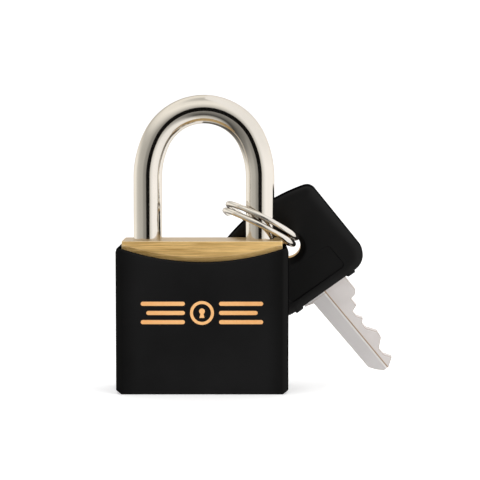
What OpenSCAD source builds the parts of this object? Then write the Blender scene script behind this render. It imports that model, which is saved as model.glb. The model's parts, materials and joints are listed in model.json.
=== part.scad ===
// Keyed brass padlock in a black plastic jacket, with a split ring and its key.
// Origin: bottom centre of the jacket. +X right, +Y back, +Z up. Millimetres.

/* [Body] */
// Width of the brass body
body_w = 35; // [34.6:0.1:36]
// Thickness of the brass body, front to back
body_d = 13.5; // [13.4:0.1:14.5]
// Height of the brass body
body_h = 32.2; // [32:0.1:33]

/* [Jacket] */
// Wall of the plastic jacket
jacket_wall = 1.35; // [1:0.05:1.5]
// Thickness of the jacket floor
floor_t = 1.2; // [1:0.1:1.5]
// How far the jacket sides stop below the brass top
side_drop = 1; // [0.8:0.1:1.5]
// Radius of the scooped edge at the front and the back
scoop_r = 55; // [50:1:70]
// How far the middle of the scoop lies below the brass top
scoop_drop = 4.5; // [4:0.1:5]
// Rounding of the jacket's upright edges
jacket_round = 1.5; // [1:0.1:1.8]

/* [Shackle] */
// Diameter of the shackle bar
bar_d = 6.3; // [6:0.1:6.4]
// Distance between the leg axes
leg_pitch = 24.8; // [24.6:0.1:25]
// Height of the clear opening over the brass top
clear_h = 25.6; // [24:0.1:30]
// Radius of the top arc of the bar's centre line
crown_r = 11.6; // [11.4:0.1:11.8]
// Radius of the two side arcs of the bar's centre line
shoulder_r = 19.8; // [19:0.1:21]
// How far the shackle springs up when it is unlocked
lift = 9.6; // [8:0.1:9.6]

/* [Lock] */
// Diameter of the turning plug
plug_d = 11; // [10.8:0.1:11]
// Height of the turning plug
plug_h = 19; // [19:0.1:19.5]
// Pitch of the pin chambers
pin_pitch = 3.8; // [3.7:0.05:3.8]
// Diameter of the pins
pin_d = 2.7; // [2.5:0.1:2.7]
// Travel of the locking latch
latch_travel = 4.2; // [4:0.1:4.2]

/* [Ring and key] */
// Diameter of the ring wire
wire_d = 1.24; // [1.1:0.02:1.24]
// Radius of the ring's centre line
ring_r = 8.5; // [8.5:0.05:8.6]
// Thickness of the key blade
blade_t = 1.2; // [1:0.1:1.2]
// Thickness of the key head
head_t = 3.4; // [3:0.1:3.4]
// Half width of the key head
head_half = 13.1; // [12.9:0.1:13.5]

/* [Hidden] */
$fn = 64;
top_z = floor_t + body_h; // brass top
mid_x = 0.3; // shackle's middle, a little right of the body's middle
heel_x = mid_x - leg_pitch / 2;
toe_x = mid_x + leg_pitch / 2;
gap = 0.05; // running gap on each side of what slides or turns
jacket_w = body_w + 2 * jacket_wall;
jacket_d = body_d + 2 * jacket_wall;
jacket_top = top_z - side_drop;
scoop_z = top_z - scoop_drop + scoop_r;
jacket_step_d = 0.4; // how deep the jacket sits in the brass faces
body_round = 0.4; // rounding of the brass body's upright edges
foot_chamfer = [1.3, 0.9]; // width and height of the jacket's lower side chamfers
ear_r = 1.4; // rounding of the jacket's upper side corners
key_opening_r = 6; // opening in the jacket floor under the plug

// shackle
bar_r = bar_d / 2;
arc_gap = shoulder_r - crown_r;
shoulder_off = shoulder_r - leg_pitch / 2;
join_a = acos(shoulder_off / arc_gap);
crown_up = arc_gap * sin(join_a);
spring_z = top_z + clear_h + bar_r - crown_r - crown_up; // where the legs start to curve
leg_tip = 0.5; // chamfer at the ends of both legs
toe_end = top_z - 9.25;
toe_pocket = toe_end - 0.6;
pin_r = 0.9; // the two cross pins
neck_r = 2.15; // the waist on the heel leg that the retaining pin runs along
neck_top = top_z - 10;
stop_z = neck_top - pin_r - gap - 0.2;
neck_bottom = stop_z - lift - pin_r - gap - 0.1;
heel_end = neck_bottom - 2.4;
heel_pocket = 4.4;
stop_x = heel_x + neck_r + pin_r + gap;

// latch
latch_z = top_z - 5;
latch_r = 2.7;
latch_bite = 1.5; // how far the nose reaches into the toe leg
latch_tip = toe_x - bar_r + latch_bite;
latch_rear = -2.6;
latch_end = -8.3; // blind end of the latch channel
nose_len = 1.8; // length of the nose's sloped lower face
nose_slope = 2.45; // its rise over run, steeper than lift over travel
notch_room = 0.2; // free space above and below the nose in the leg's notch
notch_depth = latch_bite + 0.15;
latch_spring_seat = 1.2; // depth of the spring's pocket in the latch
slot_top = latch_z + 0.2;

// plug and pins
plug_r = plug_d / 2;
plug_top = floor_t + plug_h;
cross_pin_len = body_d - 1;
pin_z = [for (i = [0 : 3]) 4.8 + i * pin_pitch];
key_pin_len = [3.57, 3.67, 2.2, 4.4]; // each matches the key's cut at its height
driver_len = 3.5;
pin_end = sqrt(pow(plug_r, 2) - pow(pin_d / 2, 2)) - 0.02; // pin ends stay inside the plug's round
chamber_r = pin_d / 2 + gap;
chamber_start = 0.8;
chamber_end = body_w / 2 - 2;
groove_z = 18.8;
groove_r = 4.55;
plug_stop_x = -(groove_r + pin_r + gap);
keyway_w = 2.2;
keyway_back = -3.9;
keyway_front = 3.7;

// tail cam
cam_z = plug_top + 0.1;
cam_r = 4.3;
cam_t = 3.2;
crank_r = latch_travel / 2 / sin(45); // a quarter turn carries the crank pin the latch's travel
crank_pin_r = 0.9;
crank_top = slot_top - 0.25;
cam_room_r = 4.5;
cam_room_top = slot_top + 0.05;
crank_room = 0.13; // free space in front of and behind the crank pin in its slot
slot_rear = latch_travel / 2 - crank_pin_r - crank_room;
slot_len = latch_travel + 2 * (crank_pin_r + crank_room);
crank_y_min = latch_travel / 2 - crank_pin_r - 0.1;

// ring
wire_r = wire_d / 2;
coil_gap = 1.58; // between the two turns' centre lines, on average
coil_splay = 0.13; // the turns part at the near side and close at the far side by this share
ring_slope = 26.5; // how far the ring slopes down to the right
ring_tip = 7.46; // how far its far side hangs below its near side
ring_pos = [12.91, 4.28, 36.51];
ring_turn = [150, 805]; // where the wire starts and ends, in degrees
ring_climb = [420, 510]; // where it climbs from the lower turn to the upper one
ring_step = 5;

// key, in its own frame: hole at the origin, blade along +X, cuts towards +Y
key_pos = [19, 9.96, 31.47];
key_rot = [117.33, 48.7, 21.24];
hole_r = 2.98;
head_end = 14.1; // where the blade leaves the head
shoulder_len = 5;
blade_len = 24.8;
blade_back = -3.86; // the blade's uncut edge
blade_crest = 3.54; // the cut edge where nothing is cut
flare = [2, 2.16]; // how far the blade widens at each edge, inside the head's foot
flare_start = -0.6; // where the widening ends, from the foot of the head
tang_start = -4; // where it starts
eye_r = 5; // radius of the blade's eye, inside the head
tang_room = 0.05; // free space round the tang inside the head
panel_pos = 8.35; // the sunk panel on the head
panel_size = [6.5, 15.4];

// points of an arc, counter-clockwise when a1 is more than a0
function arc(c, r, a0, a1, n = 8) =
    [for (i = [0 : n]) c + r * [cos(a0 + (a1 - a0) * i / n), sin(a0 + (a1 - a0) * i / n)]];

// a round wire along a coil: turn is in degrees, z_at gives the height of each step
module wire_coil(r, wire, turns_deg, z_at, sides = 6) {
    steps = len(z_at) - 1;
    points = [
        for (i = [0 : steps], k = [0 : sides - 1])
            let (t = turns_deg[0] + (turns_deg[1] - turns_deg[0]) * i / steps, a = -360 * k / sides)
            let (q = r + wire * cos(a))
            [q * cos(t), q * sin(t), z_at[i] + wire * sin(a)]
    ];
    walls = [
        for (i = [0 : steps - 1], k = [0 : sides - 1])
            let (n = (k + 1) % sides)
            [i * sides + k, (i + 1) * sides + k, (i + 1) * sides + n, i * sides + n]
    ];
    first = [for (k = [0 : sides - 1]) k];
    last = [for (k = [sides - 1 : -1 : 0]) steps * sides + k];
    polyhedron(points, concat(walls, [first, last]));
}

// a compression spring of the given length standing on the XY plane
module compression_spring(r, wire, length, turns, steps = 12) {
    n = turns * steps;
    rise = length - 2 * wire;
    wire_coil(r, wire, [0, 360 * turns], [for (i = [0 : n]) wire + rise * i / n]);
}

module along_x(x, z) {
    translate([x, 0, z]) rotate([0, 90, 0]) children();
}

module cross_pin(x, z) {
    translate([x, 0, z]) rotate([90, 0, 0]) cylinder(r = pin_r, h = cross_pin_len, center = true);
}

module block(w, d, h, r) {
    linear_extrude(h) rounded_rect(w, d, r);
}

module rounded_rect(w, d, r) {
    union() {
        square([w - 2 * r, d], center = true);
        square([w, d - 2 * r], center = true);
        for (x = [-1, 1], y = [-1, 1]) translate([x * (w / 2 - r), y * (d / 2 - r)]) circle(r);
    }
}

// the round cutter whose lower side is the scooped edge, between two depths
module scoop(r_front, r_back, d) {
    translate([0, 0, scoop_z]) rotate([90, 0, 0])
        cylinder(r1 = r_back, r2 = r_front, h = d, $fn = 180);
}

// what the brass body loses below the scoop, so that the jacket sits in a step
module jacket_step() {
    step = jacket_step_d;
    bevel = 1;
    for (side = [0, 1]) mirror([0, side, 0]) difference() {
        translate([-body_w, -body_d / 2 - 1, floor_t - 1]) cube([2 * body_w, 1 + step, body_h]);
        translate([0, -body_d / 2 + step, 0]) scoop(scoop_r - bevel, scoop_r, step);
        translate([0, -body_d / 2, 0]) scoop(scoop_r - bevel, scoop_r - bevel, 2);
    }
}

module lock_body() {
    color([0.83, 0.7, 0.42]) difference() {
        translate([0, 0, floor_t]) block(body_w, body_d, body_h, body_round);
        // heel hole, toe hole
        translate([heel_x, 0, heel_pocket]) cylinder(r = bar_r + gap, h = top_z);
        translate([toe_x, 0, toe_pocket]) cylinder(r = bar_r + gap, h = top_z);
        // latch channel, open on the toe side until its plug goes in
        along_x(latch_end, latch_z) cylinder(r = latch_r + gap, h = body_w);
        // plug bore and cam room
        cylinder(r = plug_r + gap, h = plug_top + 0.05);
        cylinder(r = cam_room_r, h = cam_room_top);
        // pin chambers, drilled from the toe side
        for (z = pin_z) along_x(plug_r - 1, z) cylinder(r = chamber_r, h = body_w / 2);
        pin_hole(stop_x, stop_z);
        pin_hole(plug_stop_x, groove_z);
        jacket_step();
    }
}

module pin_hole(x, z) {
    translate([x, 0, z]) rotate([90, 0, 0]) cylinder(r = pin_r + 0.01, h = body_d + 1, center = true);
}

module jacket() {
    x1 = jacket_w / 2;
    side = concat(
        [[x1 - foot_chamfer[0], 0], [x1, foot_chamfer[1]]],
        arc([x1 - ear_r, jacket_top - ear_r], ear_r, 0, 90)
    );
    outline = concat(side, [for (i = [len(side) - 1 : -1 : 0]) [-side[i][0], side[i][1]]]);
    color([0.1, 0.1, 0.105]) difference() {
        intersection() {
            block(jacket_w, jacket_d, jacket_top, jacket_round);
            rotate([90, 0, 0]) linear_extrude(jacket_d + 2, center = true) polygon(outline);
        }
        translate([0, 0, floor_t])
            block(body_w + 2 * gap, body_d - 2 * jacket_step_d + 2 * gap, body_h, 2 * gap);
        translate([0, jacket_d, 0]) scoop(scoop_r, scoop_r, 2 * jacket_d);
        translate([0, 0, -1]) cylinder(r = key_opening_r, h = floor_t + 2);
    }
}

// centre line of the bent bar where it faces the angle a, from 0 at the toe to 180 at the heel
function bow(a) =
    a < join_a ? [toe_x - shoulder_r + shoulder_r * cos(a), spring_z + shoulder_r * sin(a)] :
    a > 180 - join_a ? [heel_x + shoulder_r + shoulder_r * cos(a), spring_z + shoulder_r * sin(a)] :
    [mid_x + crown_r * cos(a), spring_z + crown_up + crown_r * sin(a)];

// The bend is faceted. Its two ends run down inside the round legs and are a little thinner, so that
// no edge of the bend lies on an edge of a leg.
module bent_bar() {
    sides = 32;
    steps = 60;
    overlap = 0.5;
    r = bar_r - 0.03;
    points = [
        for (i = [0 : steps], k = [0 : sides - 1])
            let (a = 180 * i / steps, b = 360 * k / sides)
            let (c = bow(a), dip = i % steps == 0 ? overlap : 0)
            [c[0] + r * cos(b) * cos(a), r * sin(b), c[1] - dip + r * cos(b) * sin(a)]
    ];
    walls = [
        for (i = [0 : steps - 1], k = [0 : sides - 1])
            let (n = (k + 1) % sides)
            [i * sides + k, (i + 1) * sides + k, (i + 1) * sides + n, i * sides + n]
    ];
    first = [for (k = [0 : sides - 1]) k];
    last = [for (k = [sides - 1 : -1 : 0]) steps * sides + k];
    polyhedron(points, concat(walls, [first, last]));
}

module shackle() {
    color([0.78, 0.77, 0.74]) difference() {
        union() {
            bent_bar();
            translate([toe_x, 0, toe_end + leg_tip])
                cylinder(r = bar_r, h = spring_z - toe_end - leg_tip);
            translate([toe_x, 0, toe_end]) cylinder(r1 = bar_r - leg_tip, r2 = bar_r, h = leg_tip);
            translate([heel_x, 0, neck_top]) cylinder(r = bar_r, h = spring_z - neck_top);
            translate([heel_x, 0, neck_bottom]) cylinder(r = neck_r, h = neck_top - neck_bottom);
            translate([heel_x, 0, heel_end + leg_tip])
                cylinder(r = bar_r, h = neck_bottom - heel_end - leg_tip);
            translate([heel_x, 0, heel_end]) cylinder(r1 = bar_r - leg_tip, r2 = bar_r, h = leg_tip);
        }
        // notch for the latch, on the inner side of the toe leg
        translate([toe_x - bar_r - 1, -bar_d, latch_z - latch_r - notch_room])
            cube([notch_depth + 1, 2 * bar_d, 2 * (latch_r + notch_room)]);
    }
}

module shackle_spring() {
    color([0.7, 0.7, 0.72]) translate([heel_x, 0, heel_pocket + 0.02])
        compression_spring(2.5, 0.3, heel_end - heel_pocket - 0.04, 5);
}

module heel_retaining_pin() {
    color([0.7, 0.7, 0.72]) cross_pin(stop_x, stop_z);
}

module latch() {
    foot = latch_tip - nose_len;
    low = latch_z - latch_r;
    color([0.75, 0.73, 0.68]) difference() {
        along_x(latch_rear, latch_z) cylinder(r = latch_r, h = latch_tip - latch_rear);
        // pocket for the spring
        along_x(latch_rear - 1, latch_z) cylinder(r = 1.8, h = latch_spring_seat + 1);
        // slot for the crank pin, long enough to let the shackle snap shut
        translate([slot_rear, crank_y_min, low - 1]) cube([slot_len, latch_r, slot_top - low + 1]);
        // sloped lower face of the nose
        rotate([90, 0, 0]) linear_extrude(4 * latch_r, center = true) polygon([
            [foot, low], [foot, low - latch_r],
            [latch_tip + 1, low - latch_r], [latch_tip + 1, low + (nose_len + 1) * nose_slope]
        ]);
    }
}

module latch_spring() {
    color([0.7, 0.7, 0.72]) translate([latch_end + gap, 0, latch_z]) rotate([0, 90, 0])
        compression_spring(1.4, 0.2, latch_rear + latch_spring_seat - latch_end - 2 * gap, 4);
}

module latch_channel_plug() {
    cover_t = 1.35;
    color([0.83, 0.7, 0.42]) along_x(body_w / 2 - gap - cover_t, latch_z)
        cylinder(r = latch_r, h = cover_t);
}

module plug() {
    color([0.85, 0.72, 0.45]) difference() {
        translate([0, 0, floor_t]) cylinder(r = plug_r, h = plug_h);
        translate([keyway_back, -keyway_w / 2, 0]) cube([keyway_front - keyway_back, keyway_w, top_z]);
        for (z = pin_z) along_x(chamber_start, z) cylinder(r = chamber_r, h = plug_d);
        // groove that the retaining pin runs in
        translate([0, 0, groove_z - pin_r - gap]) difference() {
            cylinder(r = plug_r + 1, h = 2 * (pin_r + gap));
            translate([0, 0, -1]) cylinder(r = groove_r, h = 4);
        }
    }
}

module tail_cam() {
    color([0.78, 0.76, 0.7]) {
        translate([0, 0, cam_z]) cylinder(r = cam_r, h = cam_t);
        rotate([0, 0, 45]) translate([crank_r, 0, cam_z + cam_t - 0.5])
            cylinder(r = crank_pin_r, h = crank_top - cam_z - cam_t + 0.5);
    }
}

module plug_retaining_pin() {
    color([0.7, 0.7, 0.72]) cross_pin(plug_stop_x, groove_z);
}

module key_pin(i) {
    point = 0.8; // length of the pin's pointed end
    tip_r = 0.5;
    color([0.85, 0.72, 0.45]) along_x(pin_end - key_pin_len[i], pin_z[i]) union() {
        cylinder(r1 = tip_r, r2 = pin_d / 2, h = point);
        translate([0, 0, point]) cylinder(r = pin_d / 2, h = key_pin_len[i] - point);
    }
}

module driver_pin(i) {
    color([0.75, 0.75, 0.76]) along_x(plug_r + gap + 0.02, pin_z[i])
        cylinder(r = pin_d / 2, h = driver_len);
}

module driver_spring(i) {
    start = plug_r + 2 * gap + driver_len;
    color([0.7, 0.7, 0.72]) along_x(start, pin_z[i])
        compression_spring(1, 0.2, chamber_end - start - 0.02, 6);
}

module chamber_plugs() {
    color([0.83, 0.7, 0.42]) for (z = pin_z)
        along_x(chamber_end, z) cylinder(r = pin_d / 2, h = body_w / 2 - chamber_end - gap);
}

// Two turns of wire. The second turn lies over the first,
// and the wire climbs between them at the far side.
module split_ring() {
    heights = [
        for (t = [ring_turn[0] : ring_step : ring_turn[1]])
            let (f = max(0, min(1, (t - ring_climb[0]) / (ring_climb[1] - ring_climb[0]))))
            coil_gap * (1 - coil_splay * sin(t)) * (f * f * (3 - 2 * f) - 0.5)
    ];
    color([0.78, 0.77, 0.74]) translate(ring_pos) rotate([-ring_tip, ring_slope, 0])
        wire_coil(ring_r, wire_r, ring_turn, heights, 12);
}

module key_frame() {
    translate(key_pos) rotate(key_rot) children();
}

// the blade's outline past the head, and the tang and eye that the head is moulded round
module blade_outline() {
    translate([head_end, 0]) polygon([
        [tang_start, blade_back], [flare_start, blade_back - flare[0]],
        [0.5, blade_back - flare[0]], [1.1, blade_back],
        [21.9, -3.6], [23.4, -2.6], [blade_len, -1.2], [blade_len - 0.1, 0.1],
        [23.1, 2.2], [21.3, 1.1], [19.5, 1.1], [17.5, 3.2], [15.7, 3.4],
        [13.4, 1.83], [12, 1.83], [10.97, 2.75], [9.7, 1.93], [8.07, 1.93],
        [7.45, blade_crest], [shoulder_len + 0.3, blade_crest],
        [shoulder_len, 4.9], [shoulder_len - 0.8, blade_crest + flare[1]],
        [flare_start, blade_crest + flare[1]], [tang_start, blade_crest]
    ]);
    translate([0, blade_back]) square([head_end - 2, blade_crest - blade_back]);
    circle(eye_r);
}

module key_blade() {
    color([0.78, 0.77, 0.75]) key_frame() difference() {
        translate([0, 0, -blade_t / 2]) linear_extrude(blade_t) blade_outline();
        cylinder(r = hole_r, h = 2 * blade_t, center = true);
        // milled step along the back half of the blade
        for (side = [-1, 1]) translate([head_end + 0.6, -8, side * blade_t / 2 - (side > 0 ? 0.2 : 0.8)])
            cube([blade_len, 8, 1]);
    }
}

module tang_room_outline() {
    low = blade_back - tang_room;
    high = blade_crest + tang_room;
    circle(eye_r + tang_room);
    translate([0, low]) square([head_end - 1, high - low]);
    translate([head_end, 0]) polygon([
        [tang_start - 2 * tang_room, low], [flare_start, low - flare[0]], [3, low - flare[0]],
        [3, high + flare[1]], [flare_start, high + flare[1]], [tang_start - 2 * tang_room, high]
    ]);
}

module head_outline() {
    far_r = 38;
    far_x = -10.9;
    corner = 2.2;
    foot = 4.4;
    far_a = asin((head_half - corner) / (far_r - corner));
    x0 = far_x + far_r - (far_r - corner) * cos(far_a);
    half = concat(
        arc([far_x + far_r, 0], far_r, 180, 180 - far_a, 10),
        arc([x0, head_half - corner], corner, 180 - far_a, 90, 6),
        arc([head_end - foot, head_half - foot], foot, 90, 0, 8),
        // the small lip beside the blade
        [[head_end, 8.4], [head_end + 0.55, 8.4], [head_end + 0.55, 6.3], [head_end, 6.3]]
    );
    polygon(concat(half, [for (i = [len(half) - 1 : -1 : 1]) [half[i][0], -half[i][1]]]));
}

module key_head() {
    panel_d = 0.25;
    mouth = (head_t - blade_t) / 2;
    color([0.1, 0.1, 0.105]) key_frame() difference() {
        translate([0, 0, -head_t / 2]) linear_extrude(head_t) head_outline();
        // room for the tang
        translate([0, 0, -blade_t / 2 - tang_room])
            linear_extrude(blade_t + 2 * tang_room) tang_room_outline();
        cylinder(r = hole_r + 0.05, h = 2 * head_t, center = true);
        for (side = [0, 1]) mirror([0, 0, side]) {
            translate([0, 0, blade_t / 2]) cylinder(r1 = hole_r, r2 = hole_r + mouth + 1, h = mouth + 1);
            translate([panel_pos, 0, head_t / 2 - panel_d])
                linear_extrude(1) rounded_rect(panel_size[0], panel_size[1], 1);
        }
    }
}

lock_body();
jacket();
shackle();
shackle_spring();
heel_retaining_pin();
latch();
latch_spring();
latch_channel_plug();
plug();
tail_cam();
plug_retaining_pin();
key_pin(0);  // key_pin_1
key_pin(1);  // key_pin_2
key_pin(2);  // key_pin_3
key_pin(3);  // key_pin_4
driver_pin(0);  // driver_pin_1
driver_pin(1);  // driver_pin_2
driver_pin(2);  // driver_pin_3
driver_pin(3);  // driver_pin_4
driver_spring(0);  // driver_spring_1
driver_spring(1);  // driver_spring_2
driver_spring(2);  // driver_spring_3
driver_spring(3);  // driver_spring_4
chamber_plugs();
split_ring();
key_blade();
key_head();
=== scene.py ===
"""A keyed brass padlock in a black jacket, with its split ring and key, on a pale floor."""
import json
import math

import bmesh
import bpy
from mathutils import Matrix, Vector


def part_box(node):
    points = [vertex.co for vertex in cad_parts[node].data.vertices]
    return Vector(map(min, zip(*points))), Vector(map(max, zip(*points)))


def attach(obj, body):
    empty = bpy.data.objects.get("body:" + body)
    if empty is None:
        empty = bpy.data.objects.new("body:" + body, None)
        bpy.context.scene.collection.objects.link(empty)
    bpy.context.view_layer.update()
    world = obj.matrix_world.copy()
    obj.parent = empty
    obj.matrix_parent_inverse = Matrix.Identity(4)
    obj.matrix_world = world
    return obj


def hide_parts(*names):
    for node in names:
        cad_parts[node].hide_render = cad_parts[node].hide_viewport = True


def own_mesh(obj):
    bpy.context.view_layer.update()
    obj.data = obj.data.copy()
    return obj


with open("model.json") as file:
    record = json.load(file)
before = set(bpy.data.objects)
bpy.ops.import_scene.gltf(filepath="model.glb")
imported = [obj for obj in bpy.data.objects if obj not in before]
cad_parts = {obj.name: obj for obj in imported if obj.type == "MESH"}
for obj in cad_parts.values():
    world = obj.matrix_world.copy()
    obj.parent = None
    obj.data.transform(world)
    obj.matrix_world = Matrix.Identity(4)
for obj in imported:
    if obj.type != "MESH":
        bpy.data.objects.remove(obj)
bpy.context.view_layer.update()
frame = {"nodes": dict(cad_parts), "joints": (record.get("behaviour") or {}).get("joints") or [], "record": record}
record = frame["record"]

MM = 0.001
TAU = 2 * math.pi
QUARTERS = ((1, 1), (-1, 1), (-1, -1), (1, -1))

# ---------------------------------------------------------------- sizes from the frame, in millimetres


def box_mm(node):
    low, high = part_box(node)
    return low / MM, high / MM


body_low, body_high = box_mm("lock_body")
jacket_high = box_mm("jacket")[1]
shackle_low, shackle_high = box_mm("shackle")
joints = {j["name"]: j for j in frame["joints"]}

BRASS_TOP = body_high.z
BODY_HALF_W = body_high.x
BODY_HALF_D = body_high.y
JACKET_HALF_W = jacket_high.x
JACKET_HALF_D = jacket_high.y
BAR_R = (shackle_high.y - shackle_low.y) / 2
TOE_X = shackle_high.x - BAR_R
HEEL_X = shackle_low.x + BAR_R
MID_X = (TOE_X + HEEL_X) / 2
HALF_PITCH = (TOE_X - HEEL_X) / 2

ORNAMENT_HALF_W = 14
HOLE_R = 2.98  # the key's hole

# the key's own frame: hole at the origin, blade along +X, cuts towards +Y
KEY_POS = Vector(joints["key_turn"]["pos_m"]) / MM
KEY_TURN = (
    Matrix.Rotation(math.radians(21.24), 3, "Z")
    @ Matrix.Rotation(math.radians(48.7), 3, "Y")
    @ Matrix.Rotation(math.radians(117.33), 3, "X")
)

# ---------------------------------------------------------------- small helpers


def smooth(t):
    """Rises gently from 0 to 1 as t does."""
    t = max(0.0, min(1.0, t))
    return t * t * (3 - 2 * t)


def arc_points(cx, cy, r, a0, a1, count):
    """Points of an arc between two angles in degrees, with both of its ends."""
    angles = [math.radians(a0 + (a1 - a0) * i / count) for i in range(count + 1)]
    return [(cx + r * math.cos(a), cy + r * math.sin(a)) for a in angles]


def circle_points(cx, cy, r, count=48):
    return arc_points(cx, cy, r, 0, 360, count)[:-1]


def add_object(name, data):
    thing = bpy.data.objects.new(name, data)
    bpy.context.scene.collection.objects.link(thing)
    return thing


def add_solid(name, verts, faces):
    """A closed mesh object from millimetre points, with its faces turned outwards."""
    mesh = bpy.data.meshes.new(name)
    mesh.from_pydata([Vector(v) * MM for v in verts], [], faces)
    mesh.validate()
    bm = bmesh.new()
    bm.from_mesh(mesh)
    bmesh.ops.remove_doubles(bm, verts=bm.verts, dist=1e-7)
    bmesh.ops.recalc_face_normals(bm, faces=bm.faces)
    bm.to_mesh(mesh)
    bm.free()
    mesh.update()
    return add_object(name, mesh)


def make_piece(name, verts, faces, body, material, smooth_angle=40):
    """A solid shaded smooth except at sharp edges, riding on a body."""
    piece = add_solid(name, verts, faces)
    shade(piece, smooth_angle)
    piece.data.materials.append(material)
    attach(piece, body)
    return piece


def shade(piece, angle):
    """Smooth shading, with edges sharper than the angle left crisp."""
    mesh = piece.data
    mesh.polygons.foreach_set("use_smooth", [True] * len(mesh.polygons))
    bm = bmesh.new()
    bm.from_mesh(mesh)
    limit = math.radians(angle)
    for edge in bm.edges:
        edge.smooth = len(edge.link_faces) == 2 and edge.calc_face_angle(0.0) < limit
    bm.to_mesh(mesh)
    bm.free()


def tube(centres, frames, radii, sides):
    """A closed tube round a line of centres. frames gives each ring's two directions."""
    verts = []
    for c, (u, v), r in zip(centres, frames, radii):
        for k in range(sides):
            a = TAU * k / sides
            verts.append(c + u * (r * math.cos(a)) + v * (r * math.sin(a)))
    faces = []
    rings = len(centres)
    for i in range(rings - 1):
        for k in range(sides):
            n = (k + 1) % sides
            faces.append([i * sides + k, i * sides + n, (i + 1) * sides + n, (i + 1) * sides + k])
    faces.append(list(range(sides))[::-1])
    faces.append([(rings - 1) * sides + k for k in range(sides)])
    return verts, faces


def bridge(rings, closed=False):
    """Quads between rings of the same number of points."""
    count = len(rings[0])
    verts = [p for ring in rings for p in ring]
    faces = []
    last = len(rings) if closed else len(rings) - 1
    for i in range(last):
        j = (i + 1) % len(rings)
        for k in range(count):
            n = (k + 1) % count
            faces.append([i * count + k, i * count + n, j * count + n, j * count + k])
    return verts, faces


# ---------------------------------------------------------------- materials


class Nodes:
    """A short way to write a node tree."""

    def __init__(self, name):
        self.material = bpy.data.materials.new(name)
        self.material.use_nodes = True
        self.tree = self.material.node_tree
        self.shader = self.tree.nodes["Principled BSDF"]
        self.place = self.add("ShaderNodeTexCoord").outputs["Object"]

    def add(self, kind, **values):
        node = self.tree.nodes.new(kind)
        for key, value in values.items():
            setattr(node, key, value)
        return node

    def link(self, source, target):
        self.tree.links.new(source, target)

    def part_of_place(self, axis):
        """One coordinate of the object, in metres."""
        parts = self.add("ShaderNodeSeparateXYZ")
        self.link(self.place, parts.inputs[0])
        return parts.outputs[axis]

    def absolute(self, value):
        node = self.add("ShaderNodeMath", operation="ABSOLUTE")
        self.link(value, node.inputs[0])
        return node.outputs[0]

    def facing_away(self):
        """0 where the surface faces the camera, 1 where it is seen edge-on."""
        return self.add("ShaderNodeLayerWeight").outputs["Facing"]

    def mapped(self, scale, turn=(0, 0, 0)):
        node = self.add("ShaderNodeMapping")
        node.inputs["Scale"].default_value = scale
        node.inputs["Rotation"].default_value = turn
        self.link(self.place, node.inputs["Vector"])
        return node.outputs["Vector"]

    def noise(self, scale, detail=3.0, rough=0.5, vector=None):
        node = self.add("ShaderNodeTexNoise")
        node.inputs["Scale"].default_value = scale
        node.inputs["Detail"].default_value = detail
        node.inputs["Roughness"].default_value = rough
        self.link(vector if vector is not None else self.place, node.inputs["Vector"])
        return node.outputs["Fac"]

    def ramp(self, value, stops):
        node = self.add("ShaderNodeValToRGB")
        ramp = node.color_ramp
        while len(ramp.elements) < len(stops):
            ramp.elements.new(0.5)
        for element, (position, colour) in zip(ramp.elements, stops):
            element.position = position
            element.color = (*colour, 1) if len(colour) == 3 else (colour[0],) * 3 + (1,)
        self.link(value, node.inputs["Fac"])
        return node.outputs["Color"]

    def map_range(self, value, low, high, out_low, out_high):
        node = self.add("ShaderNodeMapRange")
        limits = {"From Min": low, "From Max": high, "To Min": out_low, "To Max": out_high}
        for key, number in limits.items():
            node.inputs[key].default_value = number
        self.link(value, node.inputs["Value"])
        return node.outputs["Result"]

    def mix(self, factor, a, b):
        node = self.add("ShaderNodeMix", data_type="RGBA")
        self.link(factor, node.inputs["Factor"])
        for key, value in (("A", a), ("B", b)):
            socket = [s for s in node.inputs if s.name == key and s.type == "RGBA"][0]
            if isinstance(value, tuple):
                socket.default_value = (*value, 1)
            else:
                self.link(value, socket)
        return [s for s in node.outputs if s.type == "RGBA"][0]

    def bump(self, height, strength, distance):
        node = self.add("ShaderNodeBump")
        node.inputs["Strength"].default_value = strength
        node.inputs["Distance"].default_value = distance
        self.link(height, node.inputs["Height"])
        self.link(node.outputs["Normal"], self.shader.inputs["Normal"])

    def edge_light_and_shade(self, radius=0.0003):
        """1 at outer edges, 0 on flat faces: the mask for painted edge highlights and painted edge shade."""
        bevel = self.add("ShaderNodeBevel", samples=4)
        bevel.inputs["Radius"].default_value = radius
        geometry = self.add("ShaderNodeNewGeometry")
        dot = self.add("ShaderNodeVectorMath", operation="DOT_PRODUCT")
        self.link(bevel.outputs["Normal"], dot.inputs[0])
        self.link(geometry.outputs["Normal"], dot.inputs[1])
        return self.map_range(dot.outputs["Value"], 1.0, 0.85, 0.0, 1.0)


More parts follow.
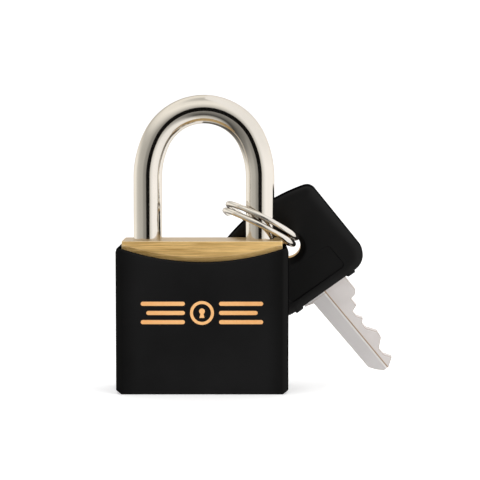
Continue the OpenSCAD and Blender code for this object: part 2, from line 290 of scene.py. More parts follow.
def brass_material():
    """Brass with fine saw marks along it, painted light making it brighter towards its right end, darker and
    browner on top, and painted highlights along its edges.
    """
    m = Nodes("brushed_brass")
    streaks = m.noise(1.0, 8, 0.72, m.mapped((70, 2900, 2300), (0, math.radians(2), 0)))
    broad = m.noise(1.0, 2, 0.5, m.mapped((22, 500, 620)))
    colour = m.mix(
        m.map_range(streaks, 0.38, 0.62, 0, 1), (0.47, 0.275, 0.075), (0.90, 0.60, 0.235)
    )
    colour = m.mix(m.map_range(broad, 0.4, 0.68, 0, 0.3), colour, (0.90, 0.60, 0.24))
    # painted light: the brass brightens towards its right end
    rightness = m.map_range(m.part_of_place("X"), 0, 0.9 * BODY_HALF_W * MM, 0, 0.85)
    colour = m.mix(rightness, colour, (1.0, 0.665, 0.26))
    scratches = m.noise(1.0, 5, 0.7, m.mapped((150, 6000, 4400), (0, math.radians(-6), 0)))
    colour = m.mix(m.map_range(scratches, 0.52, 0.66, 0, 0.5), colour, (0.46, 0.25, 0.06))
    normal = m.add("ShaderNodeSeparateXYZ")
    m.link(m.add("ShaderNodeNewGeometry").outputs["Normal"], normal.inputs[0])
    colour = m.mix(m.map_range(normal.outputs["Z"], 0.8, 1.0, 0, 0.55), colour, (0.40, 0.30, 0.17))
    # painted highlight along the outer edges
    colour = m.mix(m.edge_light_and_shade(), colour, (0.97, 0.84, 0.58))
    m.link(colour, m.shader.inputs["Base Color"])
    m.shader.inputs["Metallic"].default_value = 0.2
    m.link(m.map_range(streaks, 0.3, 0.7, 0.28, 0.44), m.shader.inputs["Roughness"])
    m.bump(streaks, 0.4, 0.00004)
    return m.material


def nickel_material(name, tint, rough, crevice=0):
    """Polished nickel. crevice is how far into a narrow gap painted shade darkens the metal, in metres."""
    m = Nodes(name)
    haze = m.noise(140.0, 3)
    fine = m.noise(1.0, 4, 0.6, m.mapped((2500, 2500, 500)))
    colour = m.mix(m.map_range(haze, 0.3, 0.7, 0, 1), tint, tuple(min(1, c * 1.06) for c in tint))
    if crevice:
        # painted shade in narrow gaps, such as between the ring's turns
        gap = m.add("ShaderNodeAmbientOcclusion", samples=8)
        gap.inputs["Distance"].default_value = crevice
        colour = m.mix(m.map_range(gap.outputs["AO"], 0.35, 0.9, 0.9, 0), colour, (0.10, 0.07, 0.045))
    # painted shade darkens the outline where the metal turns away
    colour = m.mix(m.map_range(m.facing_away(), 0.8, 0.97, 0, 0.8), colour, (0.16, 0.12, 0.085))
    m.link(colour, m.shader.inputs["Specular Tint"])
    m.link(colour, m.shader.inputs["Base Color"])
    m.shader.inputs["Metallic"].default_value = 1
    m.link(m.map_range(haze, 0.3, 0.7, rough, rough + 0.05), m.shader.inputs["Roughness"])
    m.bump(fine, 0.12, 0.000012)
    return m.material


def key_steel_material():
    """Nickelled steel, brushed along the blade, with a milled lower half."""
    m = Nodes("key_steel")
    origin = m.add("ShaderNodeVectorMath", operation="SUBTRACT")
    m.link(m.place, origin.inputs[0])
    origin.inputs[1].default_value = KEY_POS * MM

    def along(axis):
        node = m.add("ShaderNodeVectorMath", operation="DOT_PRODUCT")
        m.link(origin.outputs["Vector"], node.inputs[0])
        node.inputs[1].default_value = KEY_TURN.col[axis]
        return node.outputs["Value"]

    lengthwise, across = along(0), along(1)
    frame_place = m.add("ShaderNodeCombineXYZ")
    m.link(lengthwise, frame_place.inputs["X"])
    m.link(across, frame_place.inputs["Y"])
    stretch = m.add("ShaderNodeMapping")
    stretch.inputs["Scale"].default_value = (180, 4200, 1)
    m.link(frame_place.outputs["Vector"], stretch.inputs["Vector"])
    grain = m.noise(1.0, 4, 0.6, stretch.outputs["Vector"])
    cloud = m.noise(160.0, 2)
    colour = m.mix(m.map_range(cloud, 0.3, 0.7, 0, 1), (0.75, 0.70, 0.68), (0.84, 0.79, 0.77))
    milled = m.map_range(across, -0.00012, 0, 0.55, 0)
    colour = m.mix(milled, colour, (0.61, 0.60, 0.605))

    def line_at(place, width, strength):
        """1 on a narrow line along the blade, 0 away from it."""
        offset = m.add("ShaderNodeMath", operation="SUBTRACT")
        m.link(across, offset.inputs[0])
        offset.inputs[1].default_value = place
        return m.map_range(m.absolute(offset.outputs[0]), 0.4 * width, width, strength, 0)

    # a painted highlight where the milled step catches the light, the base metal showing beside it, and painted
    # shade along the edges
    colour = m.mix(line_at(-0.00038, 0.00026, 0.9), colour, (0.97, 0.94, 0.92))
    colour = m.mix(line_at(0.0, 0.0002, 0.85), colour, (0.52, 0.31, 0.14))
    colour = m.mix(m.edge_light_and_shade(0.00025), colour, (0.36, 0.25, 0.15))
    # the eye that the ring passes through is worn down to the brass
    from_eye = m.add("ShaderNodeVectorMath", operation="LENGTH")
    m.link(frame_place.outputs["Vector"], from_eye.inputs[0])
    worn = m.map_range(from_eye.outputs["Value"], 1.02 * HOLE_R * MM, 1.06 * HOLE_R * MM, 1, 0)
    colour = m.mix(worn, colour, (0.80, 0.52, 0.21))
    m.link(colour, m.shader.inputs["Base Color"])
    m.shader.inputs["Metallic"].default_value = 0.25
    m.link(m.map_range(grain, 0.3, 0.7, 0.34, 0.48), m.shader.inputs["Roughness"])
    m.bump(grain, 0.3, 0.00002)
    return m.material


def black_plastic_material(name, base, rough, specular, half_width=None):
    """Matt black plastic. With a half width, painted shade darkens the colour towards the piece's two sides."""
    m = Nodes(name)
    pebble = m.noise(2600.0, 3)
    cloud = m.noise(60.0, 3)
    light = tuple(c * 1.5 for c in base)
    colour = m.mix(m.map_range(cloud, 0.3, 0.7, 0, 1), base, light)
    if half_width:
        sideways = m.absolute(m.part_of_place("X"))
        # painted shade towards the piece's two sides
        painted_side_shade = m.map_range(sideways, 0.75 * half_width, 0.97 * half_width, 0, 0.8)
        colour = m.mix(painted_side_shade, colour, tuple(c * 0.1 for c in base))
    m.link(colour, m.shader.inputs["Base Color"])
    m.link(m.map_range(cloud, 0.3, 0.7, rough, rough + 0.07), m.shader.inputs["Roughness"])
    # the sheen fades where the surface turns away
    sheen = m.map_range(m.facing_away(), 0.08, 0.6, specular, 0)
    m.link(sheen, m.shader.inputs["Specular IOR Level"])
    m.bump(pebble, 0.12, 0.00002)
    return m.material


def steel_material():
    """Bare steel for the pins and springs inside."""
    m = Nodes("plain_steel")
    grain = m.noise(900.0, 4)
    colour = m.mix(grain, (0.45, 0.45, 0.46), (0.62, 0.62, 0.63))
    m.link(colour, m.shader.inputs["Base Color"])
    m.shader.inputs["Metallic"].default_value = 1
    m.link(m.map_range(grain, 0.3, 0.7, 0.25, 0.4), m.shader.inputs["Roughness"])
    return m.material


def ink_material():
    """Copper-coloured ink, with a painted sheen making it a little lighter in the middle."""
    m = Nodes("copper_ink")
    half_width = ORNAMENT_HALF_W * MM
    # painted sheen: the ink is lighter across its middle
    sheen = m.map_range(m.part_of_place("X"), -half_width, half_width, 0, 1)
    specks = m.noise(1500.0, 3)
    colour = m.ramp(sheen, [
        (0.0, (0.87, 0.42, 0.14)), (0.45, (0.93, 0.50, 0.19)), (1.0, (0.84, 0.40, 0.13)),
    ])
    colour = m.mix(m.map_range(specks, 0.4, 0.75, 0, 0.25), colour, (0.97, 0.6, 0.3))
    m.link(colour, m.shader.inputs["Base Color"])
    m.shader.inputs["Roughness"].default_value = 0.45
    m.bump(specks, 0.15, 0.00001)
    return m.material


brass = brass_material()
shackle_nickel = nickel_material("shackle_nickel", (0.83, 0.795, 0.74), 0.07)
ring_nickel = nickel_material("ring_nickel", (0.86, 0.83, 0.785), 0.09, 0.0011)
key_steel = key_steel_material()
jacket_black = black_plastic_material(
    "jacket_black", (0.0056, 0.0056, 0.006), 0.42, 0.15, JACKET_HALF_W * MM
)
head_black = black_plastic_material("head_black", (0.0034, 0.0034, 0.0037), 0.4, 0.22)
plain_steel = steel_material()
ink = ink_material()

# ---------------------------------------------------------------- shackle

CROWN_R = 11.6
SHOULDER_R = 19.8
NECK_R = 2.15
NECK_TOP = BRASS_TOP - 10
NECK_BOTTOM = 11.6
TOE_END = BRASS_TOP - 9.25
LEG_TIP = 0.6  # rounding of the toe leg's end and chamfer of the heel leg's
LATCH_Z = BRASS_TOP - 5
NOTCH_HALF_H = 2.9
NOTCH_DEPTH = 1.65
ARC_GAP = SHOULDER_R - CROWN_R
JOIN = math.acos((SHOULDER_R - HALF_PITCH) / ARC_GAP)
CROWN_UP = ARC_GAP * math.sin(JOIN)
SPRING_Z = shackle_high.z - BAR_R - CROWN_R - CROWN_UP


def bow(a):
    """Centre line of the bent bar where it faces the angle a."""
    out = Vector((math.cos(a), 0, math.sin(a)))
    if a < JOIN:
        return Vector((TOE_X - SHOULDER_R, 0, SPRING_Z)) + out * SHOULDER_R
    if a > math.pi - JOIN:
        return Vector((HEEL_X + SHOULDER_R, 0, SPRING_Z)) + out * SHOULDER_R
    return Vector((MID_X, 0, SPRING_Z + CROWN_UP)) + out * CROWN_R


def build_shackle():
    y_axis = Vector((0, 1, 0))
    centres, frames, radii = [], [], []

    def ring(centre, out, radius):
        centres.append(centre)
        frames.append((out, y_axis))
        radii.append(radius)

    def toe_ring(z, radius):
        ring(Vector((TOE_X, 0, z)), Vector((1, 0, 0)), radius)

    def heel_ring(z, radius):
        ring(Vector((HEEL_X, 0, z)), Vector((-1, 0, 0)), radius)

    tip_steps, leg_steps, bend_steps = 5, 11, 110
    for i in range(tip_steps + 1):
        a = math.pi / 2 * i / tip_steps
        toe_ring(TOE_END + LEG_TIP * (1 - math.cos(a)), BAR_R - LEG_TIP + LEG_TIP * math.sin(a))
    toe_start = TOE_END + LEG_TIP
    for i in range(1, leg_steps + 1):
        toe_ring(toe_start + (SPRING_Z - toe_start) * i / (leg_steps + 1), BAR_R)
    for i in range(bend_steps + 1):
        a = math.pi * i / bend_steps
        ring(bow(a), Vector((math.cos(a), 0, math.sin(a))), BAR_R)
    for i in range(1, leg_steps + 1):
        heel_ring(SPRING_Z + (NECK_TOP - SPRING_Z) * i / leg_steps, BAR_R)
    heel_ring(NECK_TOP, NECK_R)
    heel_ring(NECK_BOTTOM, NECK_R)
    heel_ring(NECK_BOTTOM, BAR_R)
    heel_ring(shackle_low.z + LEG_TIP, BAR_R)
    heel_ring(shackle_low.z, BAR_R - LEG_TIP)
    verts, faces = tube(centres, frames, radii, 72)
    piece = make_piece("shackle_bar", verts, faces, "shackle", shackle_nickel, 50)
    cut(piece, notch_cutter())
    shade(piece, 35)
    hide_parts("shackle")
    return piece


def notch_cutter():
    """A block for the latch's notch on the inner side of the toe leg."""
    inner = TOE_X - BAR_R
    ends = [
        [Vector((x, 2 * BAR_R * sy, LATCH_Z + NOTCH_HALF_H * sz)) for sy, sz in QUARTERS]
        for x in (inner + NOTCH_DEPTH - 4, inner + NOTCH_DEPTH)
    ]
    verts, faces = bridge(ends)
    return add_solid("notch", verts, faces + [[0, 1, 2, 3], [4, 5, 6, 7]])


def cut(piece, cutter):
    """Subtracts the cutter from the piece and removes the cutter."""
    modifier = piece.modifiers.new("cut", "BOOLEAN")
    modifier.operation = "DIFFERENCE"
    modifier.object = cutter
    modifier.solver = "EXACT"
    modifier.use_self = True
    bpy.context.view_layer.update()
    evaluated = piece.evaluated_get(bpy.context.evaluated_depsgraph_get())
    mesh = bpy.data.meshes.new_from_object(evaluated)
    piece.modifiers.clear()
    piece.data = mesh
    bpy.data.objects.remove(cutter)


# ---------------------------------------------------------------- split ring


WIRE_R = 0.62
RING_R = 8.5
COIL_GAP = 1.58  # between the two turns' centre lines, on average
COIL_SPLAY = 0.13  # the turns part at the near side and close at the far side by this share
RING_POS = Vector((12.91, 4.28, 36.51))
RING_TURN = Matrix.Rotation(math.radians(26.5), 3, "Y") @ Matrix.Rotation(math.radians(-7.46), 3, "X")


def build_ring():
    """Two turns of wire, the second lying on the first, with the climb between them at the far side."""
    start, end, climb_start, climb_end = 150, 805, 420, 510
    steps, end_share = 262, 0.86
    centres, frames, radii = [], [], []
    for i in range(steps + 1):
        t = start + (end - start) * i / steps
        a = math.radians(t)
        climb = smooth((t - climb_start) / (climb_end - climb_start)) - 0.5
        h = COIL_GAP * (1 - COIL_SPLAY * math.sin(a)) * climb
        out = Vector((math.cos(a), math.sin(a), 0))
        centres.append(RING_POS + RING_TURN @ (out * RING_R + Vector((0, 0, h))))
        frames.append((RING_TURN @ out, RING_TURN @ Vector((0, 0, -1))))
        radii.append(WIRE_R * (end_share if i in (0, steps) else 1))
    verts, faces = tube(centres, frames, radii, 28)
    piece = make_piece("split_ring_wire", verts, faces, "ring", ring_nickel, 50)
    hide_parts("split_ring")
    return piece


# ---------------------------------------------------------------- latch spring


def build_latch_spring():
    """The coil behind the latch, built at its full length; the real one shortens as the latch slides back against
    it.
    """
    low, high = box_mm("latch_spring")
    wire_r, turns, steps_a_turn = 0.2, 4, 36
    coil_r = (high.y - low.y) / 2 - wire_r
    axis_z = (low.z + high.z) / 2
    length = high.x - low.x
    pitch = (length - 2 * wire_r) / turns
    centres, frames = [], []
    for i in range(turns * steps_a_turn + 1):
        a = TAU * i / steps_a_turn
        out = Vector((0, math.cos(a), math.sin(a)))
        x = low.x + wire_r + pitch * i / steps_a_turn
        centres.append(Vector((x, 0, axis_z)) + out * coil_r)
        frames.append((out, Vector((1, 0, 0))))
    verts, faces = tube(centres, frames, [wire_r] * len(centres), 12)
    piece = make_piece("latch_spring_coil", verts, faces, "lock", plain_steel, 60)
    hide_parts("latch_spring")
    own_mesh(piece)
    return piece


# ---------------------------------------------------------------- jacket

SCOOP_R = 55.0
SCOOP_Z = BRASS_TOP - 4.5 + SCOOP_R
SIDE_DROP = 1.0
TOP_CORNER = 1.4
JACKET_ROUND = 1.5
JACKET_WALL = JACKET_HALF_W - BODY_HALF_W
JACKET_FLOOR = 1.2
FLOOR_HOLE_R = 6.0


def perimeter(half_w, half_d, r):
    """Points round a rounded rectangle: each corner, then the straight side that follows it."""
    corner_steps, long_steps, short_steps = 10, 44, 14
    points = []
    for quarter, (sx, sy) in enumerate(QUARTERS):
        centre = Vector((sx * (half_w - r), sy * (half_d - r), 0))
        next_sx, next_sy = QUARTERS[(quarter + 1) % 4]
        next_centre = Vector((next_sx * (half_w - r), next_sy * (half_d - r), 0))
        for i in range(corner_steps):
            a = math.pi / 2 * (quarter + i / corner_steps)
            points.append(centre + Vector((r * math.cos(a), r * math.sin(a), 0)))
        a = math.pi / 2 * (quarter + 1)
        out = Vector((r * math.cos(a), r * math.sin(a), 0))
        steps = long_steps if quarter % 2 == 0 else short_steps
        points += [centre.lerp(next_centre, i / steps) + out for i in range(steps)]
    return points


def rim_height(x):
    """Height of the jacket's rim at x: the scoop, limited by the rounded top corners."""
    scoop = SCOOP_Z - math.sqrt(SCOOP_R**2 - x * x)
    over = max(0.0, abs(x) - (JACKET_HALF_W - TOP_CORNER))
    corner = math.sqrt(TOP_CORNER**2 - min(over, TOP_CORNER) ** 2)
    return min(scoop, BRASS_TOP - SIDE_DROP - TOP_CORNER + corner)


def build_jacket():
    outer_edge, inner_edge = 0.32, 0.12
    chamfer_x, chamfer_y, chamfer_z = 1.3, 0.35, 0.9
    outer = perimeter(JACKET_HALF_W, JACKET_HALF_D, JACKET_ROUND)
    inner = perimeter(BODY_HALF_W + 0.05, BODY_HALF_D - 0.35, 0.4)

    def at(points, height):
        return [Vector((p.x, p.y, height(p) if callable(height) else height)) for p in points]

    def between(share):
        return [o.lerp(n, share) for o, n in zip(outer, inner)]

    def hole(z):
        return [p.normalized() * FLOOR_HOLE_R + Vector((0, 0, z)) for p in outer]

    def side_inset(p, share):
        """Bottom chamfer on the two short sides, and a light rounding on the long ones."""
        x = p.x - math.copysign(max(0.0, abs(p.x) - (JACKET_HALF_W - chamfer_x)) * share, p.x)
        y = p.y - math.copysign(max(0.0, abs(p.y) - (JACKET_HALF_D - chamfer_y)) * share, p.y)
        return Vector((x, y, 0))

    rings = [hole(0), at([side_inset(p, 1.0) for p in outer], 0)]
    for share, z in ((0.86, 0.04), (0.55, 0.3), (0.25, 0.62), (0.06, 0.84), (0.0, 1.0)):
        rings.append(at([side_inset(p, share) for p in outer], z * chamfer_z))
    rows, outer_steps, inner_steps = 14, 6, 4
    for i in range(1, rows + 1):
        def wall_height(p, share=i / rows):
            return chamfer_z + (rim_height(p.x) - outer_edge - chamfer_z) * share
        rings.append(at(outer, wall_height))
    # the rim, rounded at its outer and its inner edge
    for i in range(1, outer_steps + 1):
        a = math.pi / 2 * i / outer_steps
        drop = outer_edge * (1 - math.sin(a))
        line = between(outer_edge * (1 - math.cos(a)) / JACKET_WALL)
        rings.append(at(line, lambda p, drop=drop: rim_height(p.x) - drop))
    for share in (0.4, 0.6):
        rings.append(at(between(share), lambda p: rim_height(p.x)))
    for i in range(inner_steps + 1):
        a = math.pi / 2 * i / inner_steps
        drop = inner_edge * (1 - math.cos(a))
        line = between(1 - inner_edge * (1 - math.sin(a)) / JACKET_WALL)
        rings.append(at(line, lambda p, drop=drop: rim_height(p.x) - drop))
    rings.append(at(inner, JACKET_FLOOR))
    rings.append(hole(JACKET_FLOOR))
    verts, faces = bridge(rings, closed=True)
    piece = make_piece("jacket_shell", verts, faces, "lock", jacket_black, 38)
    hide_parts("jacket")
    return piece


# ---------------------------------------------------------------- ornament printed on the jacket


def capsule(cx, cz, length, height):
    """The outline of a bar with round ends."""
    r = height / 2
    reach = length / 2 - r
    return arc_points(cx + reach, cz, r, -90, 90, 10) + arc_points(cx - reach, cz, r, 90, 270, 10)


def keyhole_points(cx, cz):
    """A keyhole: a round top over a flared foot."""
    r, rise, foot_half_w, foot_drop, opening = 0.63, 0.36, 0.56, 1.09, 62
    top = arc_points(cx, cz + rise, r, 270 - opening / 2, opening / 2 - 90, 30)
    return top + [(cx + foot_half_w, cz - foot_drop), (cx - foot_half_w, cz - foot_drop)]


def plate(verts, faces, outline, y_front, y_back, hole=None):
    """A thin slab with the outline's shape, or a band between the outline and the hole."""
    base = len(verts)
    count = len(outline)
    loops = [outline] if hole is None else [outline, hole]

    def corners(start, i):
        return start + i, start + (i + 1) % count

    for y in (y_front, y_back):
        for loop in loops:
            verts.extend((x, y, z) for x, z in loop)
    layer = count * len(loops)
    if hole is None:
        faces.append([base + i for i in range(count)])
        faces.append([base + layer + i for i in reversed(range(count))])
    else:
        for i in range(count):
            a, b = corners(base, i)
            faces.append([a, b, b + count, a + count])
            a, b = corners(base + layer, i)
            faces.append([a, a + count, b + count, b])
    for number in range(len(loops)):
        for i in range(count):
            a, b = corners(base + number * count, i)
            faces.append([a, b, b + layer, a + layer])


def build_ornament():
    """A keyhole in a ring between two sets of three bars, raised like thick ink."""
    front = -JACKET_HALF_D - 0.03
    back = -JACKET_HALF_D + 0.05
    cz, bar_h, row_pitch, bars_start = 17.9, 0.9, 2.0, 3.7
    outer_bar, middle_bar = 9.6, 8.4
    verts, faces = [], []
    plate(verts, faces, circle_points(0, cz, 2.6), front, back, circle_points(0, cz, 1.95))
    for side in (-1, 1):
        for row in (-1, 0, 1):
            length = outer_bar if row else middle_bar
            middle = side * (bars_start + length / 2)
            plate(verts, faces, capsule(middle, cz + row * row_pitch, length, bar_h), front, back)
    plate(verts, faces, keyhole_points(0, cz), front, back)
    return make_piece("front_ornament", verts, faces, "lock", ink, 30)


# ---------------------------------------------------------------- key head

HEAD_HALF = 13.1
HEAD_FAR = -10.9
HEAD_END = 14.1
HEAD_T = 3.4
BLADE_T = 1.2


def head_half_outline():
    """One half of the head's outline, from the middle of its far edge to the middle of its foot."""
    far_r, corner, foot = 38.0, 2.2, 4.4
    far_x = HEAD_FAR + far_r
    far_a = math.degrees(math.asin((HEAD_HALF - corner) / (far_r - corner)))
    x0 = far_x - (far_r - corner) * math.cos(math.radians(far_a))
    half = arc_points(far_x, 0, far_r, 180, 180 - far_a, 20)
    half += arc_points(x0, HEAD_HALF - corner, corner, 180 - far_a, 90, 10)[1:]
    straight = HEAD_END - foot - x0
    half += [(x0 + straight * i / 16, HEAD_HALF) for i in range(1, 16)]
    half += arc_points(HEAD_END - foot, HEAD_HALF - foot, foot, 90, 0, 14)
    # a small block stands out of the foot beside the blade
    block_low, block_high, block_end = 6.25, 8.45, HEAD_END + 0.5
    half.append((HEAD_END, block_high))
    half += [(block_end, y) for y in (8.35, 7.35, 6.5)]
    half += [(HEAD_END, block_low * (1 - i / 10)) for i in range(11)]
    return half


def distance_to_outline(p, outline):
    """Shortest distance from a point to a closed outline."""
    distances = []
    for i, a in enumerate(outline):
        side = outline[i - 1] - a
        t = max(0.0, min(1.0, (p - a).dot(side) / side.length_squared))
        distances.append((p - a - side * t).length)
    return min(distances)


def head_height(p, outline):
    """Half thickness of the head at a point: flat, with a wide rounding towards its edge."""
    band, drop = 2.4, 0.95
    d = min(band, distance_to_outline(p, outline))
    return HEAD_T / 2 - drop * (1 - math.sqrt(1 - (1 - d / band) ** 2))


def build_head():
    half = head_half_outline()
    outline = [Vector(p) for p in half + [(x, -y) for x, y in reversed(half[1:-1])]]
    mouth = (HEAD_T - BLADE_T) / 2
    rays = [p.normalized() for p in outline]

    def hole(radius, z):
        return [Vector((radius * r.x, radius * r.y, z)) for r in rays]

    rim = HOLE_R + mouth
    top = [
        hole(HOLE_R, BLADE_T / 2),
        hole(rim - 0.16, HEAD_T / 2 - 0.16),
        hole(rim - 0.02, HEAD_T / 2 - 0.05),
        hole(rim + 0.14, HEAD_T / 2),
    ]
    inner_r = rim + 0.5
    back_off = (3.0, 2.4, 2.0, 1.6, 1.25, 0.95, 0.7, 0.5, 0.34, 0.2, 0.1, 0.03, 0.0)
    for share in (0.0, 0.2, 0.4, 0.6, 0.8):
        ring = [r * inner_r for r in rays]
        ring = [a.lerp(p * (1 - back_off[0] / p.length), share) for a, p in zip(ring, outline)]
        top.append([Vector((p.x, p.y, head_height(p, outline))) for p in ring])
    for step in back_off:
        ring = [p * (1 - step / p.length) for p in outline]
        top.append([Vector((p.x, p.y, head_height(p, outline))) for p in ring])
    rings = top + [[Vector((p.x, p.y, -p.z)) for p in ring] for ring in reversed(top)]
    verts, faces = bridge(rings, closed=True)
    piece = make_piece("key_head_cover", verts, faces, "key", head_black)
    for side in (1, -1):
        cut(piece, panel_cutter(side))
    for v in piece.data.vertices:
        v.co = (KEY_POS * MM) + KEY_TURN @ v.co
    shade(piece, 25)
    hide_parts("key_head")
    return piece


def panel_cutter(side):
    """A shallow block with sloped sides for the sunk panel on one face."""
    middle_x, half_x, half_y, r, depth = 8.35, 3.25, 7.7, 1.0, 0.22
    face = HEAD_T / 2
    rings = []
    for z, grow in ((face - depth, -0.12), (face - depth + 0.05, -0.04), (face + 0.1, 0.12)):
        ring = []
        for quarter, (sx, sy) in enumerate(QUARTERS):
            cx = middle_x + sx * (half_x - r)
            corner = arc_points(cx, sy * (half_y - r), r + grow, 90 * quarter, 90 * (quarter + 1), 8)
            ring += [Vector((x, y * side, z * side)) for x, y in corner]
        rings.append(ring)
    verts, faces = bridge(rings)
    count = len(rings[0])
    faces.append(list(range(count)))
    faces.append([2 * count + i for i in range(count)])
    return add_solid("panel", verts, faces)


# ---------------------------------------------------------------- carried-over CAD nodes


def dress_cad_nodes():
    """Gives every CAD node that stays its material."""
    by_slot = {
        "brass": brass,
        "inner_steel": plain_steel,
        "jacket_plastic": jacket_black,
        "key_head_plastic": head_black,
        "key_nickel": key_steel,
        "ring_nickel": ring_nickel,
        "shackle_chrome": shackle_nickel,
    }
    for row in record["subparts"]:
        node = frame["nodes"][row["node"]]
        node.data.materials.clear()
        node.data.materials.append(by_slot[row["material_slot"]])


# ---------------------------------------------------------------- stage

CAMERA_DISTANCE = 360
CAMERA_PLACE = Vector((8.26, body_low.y - CAMERA_DISTANCE, 57.6)) * MM


def build_floor():
    """A floor that turns up into a backdrop far behind the lock. Sizes here are in metres."""
    front, back, turn_r, side, top = -2.5, 0.9, 0.7, 2.5, 2.2
    profile = [(front, 0)] + arc_points(back, turn_r, turn_r, -90, 0, 24) + [(back + turn_r, top)]
    verts = [(x, y, z) for x in (-side, side) for y, z in profile]
    count = len(profile)
    faces = [[i, i + 1, count + i + 1, count + i] for i in range(count - 1)]
    mesh = bpy.data.meshes.new("floor")
    mesh.from_pydata(verts, [], faces)
    mesh.polygons.foreach_set("use_smooth", [True] * len(faces))
    floor = add_object("floor", mesh)
    floor.location = (0, 0, -0.00002)
    m = Nodes("pale_floor")
    m.link(m.mix(m.noise(3.0), (0.86, 0.86, 0.86), (0.89, 0.89, 0.89)), m.shader.inputs["Base Color"])
    m.shader.inputs["Roughness"].default_value = 0.9
    m.shader.inputs["Specular IOR Level"].default_value = 0.1
    m.shader.inputs["Emission Color"].default_value = (1, 1, 1, 1)
    m.shader.inputs["Emission Strength"].default_value = 0.4
    mesh.materials.append(m.material)
    floor.visible_glossy = False


def build_dark_disc():
    """The dark camera, as polished metal sees it: the narrow black band along the bar."""
    radius = 0.1
    facing = (Vector((CAMERA_PLACE.x, 0, 0.045)) - CAMERA_PLACE).to_track_quat("Z", "Y")
    verts = [CAMERA_PLACE + facing @ Vector((x, y, 0)) for x, y in circle_points(0, 0, radius, 64)]
    mesh = bpy.data.meshes.new("dark_disc")
    mesh.from_pydata(verts, [], [list(range(len(verts)))])
    disc = add_object("dark_disc", mesh)
    m = Nodes("dark_disc")
    colour = m.mix(m.noise(20.0), (0.003, 0.003, 0.003), (0.006, 0.005, 0.004))
    m.link(colour, m.shader.inputs["Base Color"])
    m.shader.inputs["Specular IOR Level"].default_value = 0
    mesh.materials.append(m.material)
    disc.visible_camera = False
    disc.visible_diffuse = False
    disc.visible_shadow = False
    disc.visible_transmission = False


def area_light(name, place, size, power, colour=(1, 1, 1)):
    """A soft light aimed at the lock. Polished metal doesn't mirror it."""
    target = Vector((0.008, 0, 0.035))
    data = bpy.data.lights.new(name, "AREA")
    data.shape = "RECTANGLE"
    data.size, data.size_y = size
    data.energy = power
    data.color = colour
    light = add_object(name, data)
    light.location = place
    light.visible_glossy = False
    light.rotation_euler = (target - light.location).to_track_quat("-Z", "Y").to_euler()


def build_lights():
    area_light("key_light", (0.55, -0.45, 0.5), (0.5, 0.6), 1.6, (1.0, 0.985, 0.97))
    area_light("fill_light", (-0.6, -0.5, 0.45), (0.6, 0.6), 0.8, (0.97, 0.98, 1.0))
    area_light("top_light", (0, 0.05, 0.9), (0.7, 0.7), 1.5)


def warm(level):
    """A slightly warm grey."""
    return level * 1.03, level * 0.995, level * 0.92


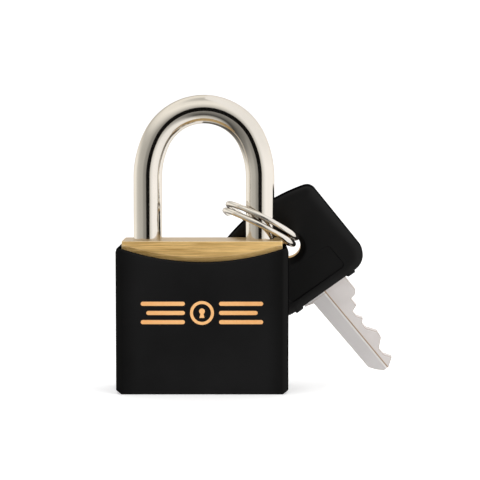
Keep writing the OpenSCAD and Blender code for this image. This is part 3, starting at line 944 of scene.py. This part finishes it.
def build_world():
    """White to the camera and to matt surfaces. Polished metal sees a studio: white on the right,
    grey on the left, a light overhead and a dim foreground below."""
    world = bpy.data.worlds.new("studio")
    bpy.context.scene.world = world
    world.use_nodes = True
    tree = world.node_tree
    tree.nodes.clear()

    def add(kind, **values):
        node = tree.nodes.new(kind)
        for key, value in values.items():
            setattr(node, key, value)
        return node

    def link(source, target):
        tree.links.new(source, target)

    def ramp_of(value, low, high, stops):
        """A colour ramp between two limits of a value, with its stops in the value's own units."""
        share = add("ShaderNodeMapRange")
        share.inputs["From Min"].default_value = low
        share.inputs["From Max"].default_value = high
        link(value, share.inputs["Value"])
        node = add("ShaderNodeValToRGB")
        elements = node.color_ramp.elements
        while len(elements) < len(stops):
            elements.new(0.5)
        for element, (place, colour) in zip(elements, stops):
            element.position = (place - low) / (high - low)
            element.color = (*colour, 1)
        link(share.outputs["Result"], node.inputs["Fac"])
        return node.outputs["Color"]

    def smooth_step(value, low, high):
        node = add("ShaderNodeMapRange", interpolation_type="SMOOTHSTEP")
        node.inputs["From Min"].default_value = low
        node.inputs["From Max"].default_value = high
        link(value, node.inputs["Value"])
        return node.outputs["Result"]

    def mixed(factor, a, b):
        node = add("ShaderNodeMix", data_type="RGBA")
        first, second = [socket for socket in node.inputs if socket.type == "RGBA"]
        link(factor, node.inputs["Factor"])
        for socket, value in ((first, a), (second, b)):
            if isinstance(value, tuple):
                socket.default_value = (*value, 1)
            else:
                link(value, socket)
        return [socket for socket in node.outputs if socket.type == "RGBA"][0]

    place = add("ShaderNodeTexCoord")
    parts = add("ShaderNodeSeparateXYZ")
    link(place.outputs["Generated"], parts.inputs[0])
    forward = add("ShaderNodeMath", operation="MULTIPLY")
    forward.inputs[1].default_value = -1
    link(parts.outputs["Y"], forward.inputs[0])
    turn = add("ShaderNodeMath", operation="ARCTAN2")
    link(parts.outputs["X"], turn.inputs[0])
    link(forward.outputs[0], turn.inputs[1])
    azimuth = add("ShaderNodeMath", operation="DEGREES")
    link(turn.outputs[0], azimuth.inputs[0])
    white = (1.06, 1.03, 1.0)
    walls = ramp_of(azimuth.outputs[0], -180, 180, [
        (-180, white), (-122, warm(1.0)), (-103, warm(0.85)), (-92, warm(0.62)),
        (-66, warm(0.5)), (-42, warm(0.46)), (-32, warm(0.31)), (-16, warm(0.26)),
        (6, warm(0.4)), (20, warm(0.68)), (34, (0.93, 0.91, 0.89)), (46, white), (180, white),
    ])
    heights = ramp_of(parts.outputs["Z"], -1, 1, [
        (-1.0, warm(0.72)), (-0.9, warm(0.6)), (-0.8, warm(0.3)), (-0.72, warm(0.05)),
        (-0.64, warm(0.1)), (-0.5, warm(0.18)), (-0.2, warm(0.26)), (0.2, warm(0.42)),
        (0.4, warm(0.58)), (0.6, warm(0.82)), (0.76, warm(0.95)), (0.92, warm(0.88)),
        (1.0, warm(0.55)),
    ])
    rightness = smooth_step(azimuth.outputs[0], 4, 40)
    steepness = add("ShaderNodeMath", operation="ABSOLUTE")
    link(parts.outputs["Z"], steepness.inputs[0])
    above_and_below = mixed(rightness, heights, (0.95, 0.93, 0.9))
    seen = mixed(smooth_step(steepness.outputs[0], 0.1, 0.42), walls, above_and_below)
    reflected = add("ShaderNodeBackground")
    link(seen, reflected.inputs["Color"])
    plain = add("ShaderNodeBackground")
    plain.inputs["Color"].default_value = (1, 1, 1, 1)
    path = add("ShaderNodeLightPath")
    strength = add("ShaderNodeMapRange")
    strength.inputs["To Min"].default_value = 0.6
    link(path.outputs["Is Camera Ray"], strength.inputs["Value"])
    link(strength.outputs["Result"], plain.inputs["Strength"])
    choose = add("ShaderNodeMixShader")
    link(path.outputs["Is Glossy Ray"], choose.inputs["Fac"])
    link(plain.outputs[0], choose.inputs[1])
    link(reflected.outputs[0], choose.inputs[2])
    out = add("ShaderNodeOutputWorld")
    link(choose.outputs[0], out.inputs["Surface"])


def build_camera():
    looking_down = 3.8
    data = bpy.data.cameras.new("camera")
    data.sensor_width = 36
    data.lens = 124.5
    data.clip_start = 0.01
    data.clip_end = 20
    camera = add_object("camera", data)
    camera.location = CAMERA_PLACE
    camera.rotation_euler = (math.radians(90 - looking_down), 0, 0)
    bpy.context.scene.camera = camera


dress_cad_nodes()
build_shackle()
build_ring()
build_latch_spring()
build_jacket()
build_ornament()
build_head()
build_floor()
build_dark_disc()
build_lights()
build_world()
build_camera()
bpy.context.scene.view_settings.view_transform = "Standard"
